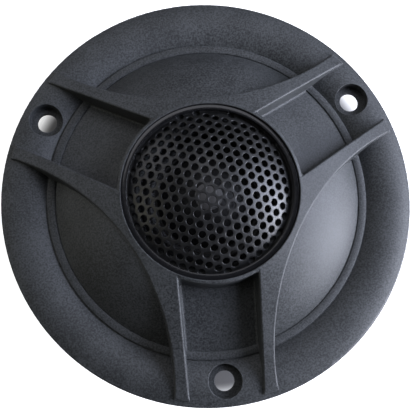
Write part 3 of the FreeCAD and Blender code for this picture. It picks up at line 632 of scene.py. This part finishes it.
foam_gasket()
soft_ring("seat_gasket", "driver_gasket", "foam", corner=0.15 * MM, lump=1.5 * MM, depth=0.02 * MM)
soft_ring("felt_pad", "pole_felt_pad", "felt", corner=0.5 * MM, lump=0.8 * MM, depth=0.08 * MM)
half_roll()
wound_coil()
glue_bead("front_glue_bead", radius=radii("magnet")[1] - 0.25 * MM, height=heights("magnet")[1], side=-1)
glue_bead("yoke_glue_bead", radius=radii("yoke")[1] + 0.1 * MM, height=heights("magnet")[0], side=1)
solder_joints()


# ---------------------------------------------------------------- floor, light and camera

FLOOR_HALF_WIDTH = 1.6  # metres
# A painted shade on the floor under the object: a disc of darker colour with no glow, round a middle set a
# little off the object's axis.
FLOOR_PAINTED_SHADE_MIDDLE = (0.9 * MM, 2 * MM, 0)
FLOOR_PAINTED_SHADE_EDGE = (47.5 * MM, 54 * MM)  # the painted shade fades out between these distances from its middle
FLOOR_PAINTED_SHADE_COLOR = (0.18, 0.176, 0.172)

COOL, NEUTRAL, WARM = (0.86, 0.93, 1.16), (0.96, 0.97, 1.05), (1.06, 1.04, 0.90)

# Each light: bearing and height in degrees, distance and width in metres, power in watts, colour.
LIGHTS = {
    "window_low": (-15, 10, 0.25, 0.14, 0.64, NEUTRAL),
    "window_high": (15, 38, 0.25, 0.14, 0.25, COOL),
    "window_far": (-2, 28, 0.6, 0.4, 2.6, COOL),
    "window_sill": (-15, 12, 0.6, 0.4, 2.2, COOL),
    "sky": (90, 60, 0.6, 0.35, 0.48, NEUTRAL),
    "corner": (135, 25, 0.6, 0.35, 0.52, NEUTRAL),
    "left_wall": (180, 25, 0.6, 0.35, 0.38, WARM),
}

CAMERA_SENSOR = 36  # mm
CAMERA_LENS = 68.9  # mm
CAMERA_SHIFT = (-0.0016, -0.0184)
CAMERA_EYE = Vector((-14.37, -34.01, 193.96)) * MM
CAMERA_UPWARD = Vector((0.0889, 0.9960, 0))  # the way across the object that is up in the picture
RIM_CENTRE = Vector((0, 0, RIM_TOP))


def floor():
    """A plain pale table that the magnet stands on; under the object a disc of painted shade darkens its
    colour and holds back its glow, and outside that disc the camera sees it white.
    """
    look = Look("floor_look", grey(0.82), 0.6)
    spot = look.node("ShaderNodeVectorMath", operation="SUBTRACT")
    look.feed(spot.inputs[0], look.stretched((1, 1, 0)))
    look.feed(spot.inputs[1], FLOOR_PAINTED_SHADE_MIDDLE)
    reach = look.node("ShaderNodeVectorMath", operation="LENGTH")
    look.feed(reach.inputs[0], spot.outputs["Vector"])
    # The share of the table outside the painted shade: 0 in the painted dark disc under the object, 1 beyond
    # it; it sets both the darker colour and the held-back glow.
    outside_painted_shade = look.ramp(reach.outputs["Value"], 0.0, 1.0, *FLOOR_PAINTED_SHADE_EDGE, smooth=True)
    pale = look.ramp(look.noise(60, detail=3), grey(0.80), grey(0.84), start=0.3, end=0.7)
    look.set("Base Color", look.mix(outside_painted_shade, FLOOR_PAINTED_SHADE_COLOR, pale))
    look.set("Emission Color", WHITE)
    seen = look.node("ShaderNodeLightPath").outputs["Is Camera Ray"]
    look.set("Emission Strength", look.math("MULTIPLY", outside_painted_shade, seen))
    height = heights("yoke")[0]
    half = FLOOR_HALF_WIDTH
    corners = [(x, y, height) for x, y in ((-half, -half), (half, -half), (half, half), (-half, half))]
    mesh = bpy.data.meshes.new("floor")
    mesh.from_pydata(corners, [], [(0, 1, 2, 3)])
    mesh.materials.append(look.material)
    table = bpy.data.objects.new("floor", mesh)
    bpy.context.scene.collection.objects.link(table)


def soft_light(name, bearing, height, distance, width, power, color):
    """A square soft box aimed at the rim's centre, at a bearing round it and an angle above it."""
    data = bpy.data.lights.new(name, "AREA")
    data.size = width
    data.energy = power
    data.color = color
    lamp = bpy.data.objects.new(name, data)
    lamp.visible_camera = False
    slope = math.radians(height)
    away = around(distance * math.cos(slope), math.radians(bearing), distance * math.sin(slope))
    lamp.location = RIM_CENTRE + away
    lamp.rotation_euler = (-away).to_track_quat("-Z", "Y").to_euler()
    bpy.context.scene.collection.objects.link(lamp)


def room(ambient, backdrop):
    """A white backdrop for the camera; the object gets a weaker, even light from it."""
    world = bpy.data.worlds.new("room")
    bpy.context.scene.world = world
    world.use_nodes = True
    tree = world.node_tree
    tree.nodes.clear()
    out = tree.nodes.new("ShaderNodeOutputWorld")
    share = tree.nodes.new("ShaderNodeMixShader")
    path = tree.nodes.new("ShaderNodeLightPath")
    for slot, strength in ((1, ambient), (2, backdrop)):
        glow = tree.nodes.new("ShaderNodeBackground")
        glow.inputs["Color"].default_value = WHITE
        glow.inputs["Strength"].default_value = strength
        tree.links.new(glow.outputs["Background"], share.inputs[slot])
    tree.links.new(path.outputs["Is Camera Ray"], share.inputs[0])
    tree.links.new(share.outputs["Shader"], out.inputs["Surface"])


def camera():
    """Nearly straight down on the front, a little from below, as the object was photographed."""
    data = bpy.data.cameras.new("camera")
    data.sensor_width = CAMERA_SENSOR
    data.lens = CAMERA_LENS
    data.shift_x, data.shift_y = CAMERA_SHIFT
    data.clip_start = 10 * MM
    back = (CAMERA_EYE - RIM_CENTRE).normalized()
    right = CAMERA_UPWARD.cross(back).normalized()
    up = back.cross(right)
    turned = Matrix((right, up, back)).transposed().to_4x4()
    made = bpy.data.objects.new("camera", data)
    made.matrix_world = Matrix.Translation(CAMERA_EYE) @ turned
    bpy.context.scene.collection.objects.link(made)
    bpy.context.scene.camera = made


floor()
for name, settings in LIGHTS.items():
    soft_light(name, *settings)
room(ambient=0.03, backdrop=1.0)
camera()
bpy.context.scene.view_settings.view_transform = "Standard"
